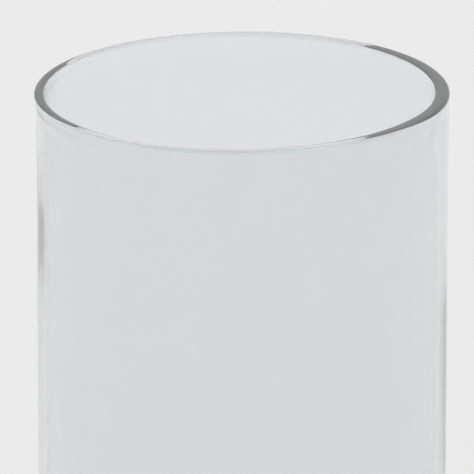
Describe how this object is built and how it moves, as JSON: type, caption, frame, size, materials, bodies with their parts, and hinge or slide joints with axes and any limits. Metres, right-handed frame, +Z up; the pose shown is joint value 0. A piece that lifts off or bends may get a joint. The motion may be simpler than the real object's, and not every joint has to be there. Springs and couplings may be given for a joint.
{
  "type": "glass cylinder vase",
  "caption": "Clear, straight-sided glass cylinder vase with a cut and ground flat rim, a thick coved base and a domed hollow inside its foot ring.",
  "frame": {"origin": "centre of the foot ring, in the plane that the vase stands on", "axes": "+Z up along the cylinder's axis, out of the mouth; +Y away from the viewer and +X to the viewer's right in the front view, though the vase looks alike all round"},
  "size_m": [0.15, 0.15, 0.3],
  "materials": {
    "wall_glass": "clear soda-lime glass, fire-finished inside and out, with a ground and polished rim",
    "base_glass": "clear soda-lime glass, thick, with a faint green edge tint"
  },
  "bodies": {
    "root": {"cylinder_wall": "wall_glass", "glass_base": "base_glass"}
  },
  "joints": []
}
